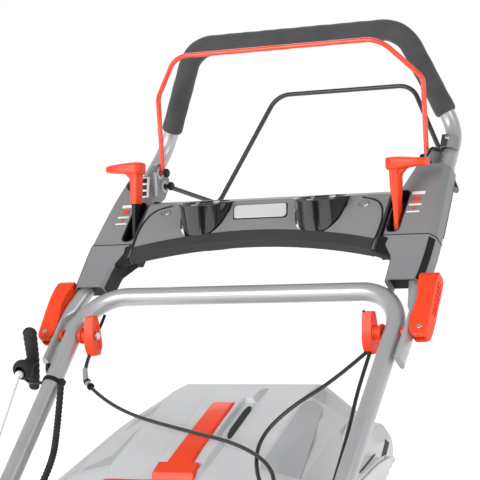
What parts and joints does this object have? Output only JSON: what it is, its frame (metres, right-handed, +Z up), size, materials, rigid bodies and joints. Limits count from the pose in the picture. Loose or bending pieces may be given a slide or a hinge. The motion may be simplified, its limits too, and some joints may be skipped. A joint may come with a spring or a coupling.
{
  "type": "lawn mower",
  "caption": "Walk-behind rotary lawn mower with folding tube handle, foam grip, bails, cup console, speed levers and rear grass catcher.",
  "frame": {"origin": "centre of the footprint, on the ground", "axes": "+Z up, +Y backwards from the cutting deck towards the person at the handle, +X to that person's left"},
  "size_m": [0.645, 1.6309, 1.018],
  "materials": {
    "engine_black": "satin black moulded plastic and painted sheet",
    "coated_black": "smooth black coating over steel wire",
    "steel": "bright zinc-plated steel",
    "cast_alloy": "as-cast alloy",
    "gloss_red": "glossy orange red",
    "plastic_light": "fine-textured light grey moulding",
    "plastic_grey": "fine-textured mid grey moulding",
    "gloss_black": "high gloss black",
    "deck_grey": "satin dark grey powder coat",
    "rubber_black": "matte black",
    "foam_grey": "grainy charcoal foam",
    "tube_silver": "satin silver coated steel tube",
    "engine_metal": "heat-proof satin black paint",
    "rope_white": "braided white cord",
    "tyre_black": "matte black tread"
  },
  "bodies": {
    "chassis": {"deck_shell": "deck_grey", "discharge_tunnel": "deck_grey", "front_apron": "deck_grey", "front_axle": "steel", "rear_axle": "steel", "engine_block": "cast_alloy", "engine_shroud": "engine_black", "fuel_tank": "engine_black", "muffler": "engine_metal", "air_filter_cover": "engine_black", "drive_belt": "rubber_black", "gearbox": "cast_alloy", "deck_bracket_l": "deck_grey", "deck_bracket_r": "deck_grey", "foot_bolt_l": "gloss_black", "foot_bolt_r": "gloss_black", "flap_pin": "steel", "lower_frame": "tube_silver", "clamp_pad_l": "gloss_red", "clamp_pad_r": "gloss_red", "rope_guide": "rubber_black", "brake_cable": "coated_black", "throttle_cable": "coated_black", "drive_cable": "coated_black", "wiring_conduit": "rubber_black", "starter_rope": "rope_white"},
    "front_wheel_l": {"tyre_front_l": "tyre_black", "hub_front_l": "plastic_light"},
    "front_wheel_r": {"tyre_front_r": "tyre_black", "hub_front_r": "plastic_light"},
    "rear_wheel_l": {"tyre_rear_l": "tyre_black", "hub_rear_l": "plastic_light"},
    "rear_wheel_r": {"tyre_rear_r": "tyre_black", "hub_rear_r": "plastic_light"},
    "crank": {"crankshaft": "steel", "blade_boss": "cast_alloy", "blade": "steel", "blade_bolt": "steel"},
    "drive_pulley": {"gearbox_pulley": "steel"},
    "fuel_cap": {"fuel_cap": "gloss_red"},
    "oil_cap": {"oil_cap": "gloss_black"},
    "height_lever": {"height_lever": "gloss_red"},
    "rear_flap": {"rear_flap": "plastic_grey"},
    "catcher": {"catcher": "plastic_light", "catcher_lid": "plastic_light", "catcher_handle": "gloss_red"},
    "cam_lever_l": {"cam_lever_l": "gloss_red"},
    "cam_lever_r": {"cam_lever_r": "gloss_red"},
    "upper_handle": {"upper_handle": "tube_silver", "foam_grip": "foam_grey", "console": "plastic_grey", "cup_l": "gloss_black", "cup_r": "gloss_black", "side_housing_l": "plastic_grey", "side_housing_r": "plastic_grey"},
    "red_bail": {"red_bail": "gloss_red"},
    "black_bail": {"black_bail": "coated_black"},
    "control_lever_l": {"control_lever_l": "gloss_red"},
    "control_lever_r": {"control_lever_r": "gloss_red"},
    "starter_grip": {"starter_grip": "rubber_black"}
  },
  "joints": [
    {"name": "front_wheel_l_spin", "type": "hinge", "parent": "chassis", "child": "front_wheel_l", "pos_m": [0.297, -0.7, 0.1], "axis": [1, 0, 0], "continuous": true},
    {"name": "front_wheel_r_spin", "type": "hinge", "parent": "chassis", "child": "front_wheel_r", "pos_m": [-0.297, -0.7, 0.1], "axis": [1, 0, 0], "continuous": true},
    {"name": "rear_wheel_l_spin", "type": "hinge", "parent": "chassis", "child": "rear_wheel_l", "pos_m": [0.299, -0.075, 0.135], "axis": [1, 0, 0], "continuous": true},
    {"name": "rear_wheel_r_spin", "type": "hinge", "parent": "chassis", "child": "rear_wheel_r", "pos_m": [-0.299, -0.075, 0.135], "axis": [1, 0, 0], "continuous": true},
    {"name": "crank_spin", "type": "hinge", "parent": "chassis", "child": "crank", "pos_m": [0, -0.41, 0.2], "axis": [0, 0, 1], "continuous": true},
    {"name": "drive_pulley_spin", "type": "hinge", "parent": "chassis", "child": "drive_pulley", "pos_m": [0, -0.1, 0.16], "axis": [0, 0, 1], "continuous": true},
    {"name": "fuel_cap_turn", "type": "hinge", "parent": "chassis", "child": "fuel_cap", "pos_m": [0.03, -0.262, 0.36], "axis": [0, 0, 1], "range_deg": [0, 120]},
    {"name": "oil_cap_turn", "type": "hinge", "parent": "chassis", "child": "oil_cap", "pos_m": [-0.08, -0.386, 0.255], "axis": [0, 0, 1], "range_deg": [0, 180]},
    {"name": "height_lever_swing", "type": "hinge", "parent": "chassis", "child": "height_lever", "pos_m": [0.17, -0.15, 0.225], "axis": [1, 0, 0], "range_deg": [-8, 28]},
    {"name": "rear_flap_lift", "type": "hinge", "parent": "chassis", "child": "rear_flap", "pos_m": [0, 0.0565, 0.3335], "axis": [1, 0, 0], "range_deg": [0, 35], "stiffness_Nm_per_rad": 0.4, "springref_deg": -40.11},
    {"name": "catcher_lift", "type": "slide", "parent": "chassis", "child": "catcher", "axis": [0, 0.9659, 0.2588], "range_m": [0, 0.8]},
    {"name": "cam_lever_l_open", "type": "hinge", "parent": "chassis", "child": "cam_lever_l", "pos_m": [0.286, 0.4089, 0.6153], "axis": [0, -0.6947, 0.7193], "range_deg": [-90, 0]},
    {"name": "cam_lever_r_open", "type": "hinge", "parent": "chassis", "child": "cam_lever_r", "pos_m": [-0.286, 0.4089, 0.6153], "axis": [0, -0.6947, 0.7193], "range_deg": [0, 90]},
    {"name": "handle_fold", "type": "hinge", "parent": "chassis", "child": "upper_handle", "pos_m": [0, 0.4117, 0.6124], "axis": [1, 0, 0], "range_deg": [0, 140]},
    {"name": "red_bail_squeeze", "type": "hinge", "parent": "upper_handle", "child": "red_bail", "pos_m": [0, 0.627, 0.823], "axis": [1, 0, 0], "range_deg": [-14, 0], "stiffness_Nm_per_rad": 0.8, "springref_deg": 28.65},
    {"name": "black_bail_squeeze", "type": "hinge", "parent": "upper_handle", "child": "black_bail", "pos_m": [0, 0.637, 0.803], "axis": [1, 0, 0], "range_deg": [0, 41], "stiffness_Nm_per_rad": 0.8, "springref_deg": -34.38},
    {"name": "control_lever_l_swing", "type": "hinge", "parent": "upper_handle", "child": "control_lever_l", "pos_m": [0.207, 0.529, 0.71], "axis": [1, 0, 0], "range_deg": [-10, 24]},
    {"name": "control_lever_r_swing", "type": "hinge", "parent": "upper_handle", "child": "control_lever_r", "pos_m": [-0.207, 0.529, 0.71], "axis": [1, 0, 0], "range_deg": [-4, 30]},
    {"name": "starter_pull", "type": "slide", "parent": "chassis", "child": "starter_grip", "axis": [0, 0.9292, 0.3697], "range_m": [0, 0.45], "stiffness_N_per_m": 20, "springref_m": -0.3}
  ],
  "couplings": [
    {"joint": "drive_pulley_spin", "follows": "crank_spin", "ratio": 0.6667}
  ]
}
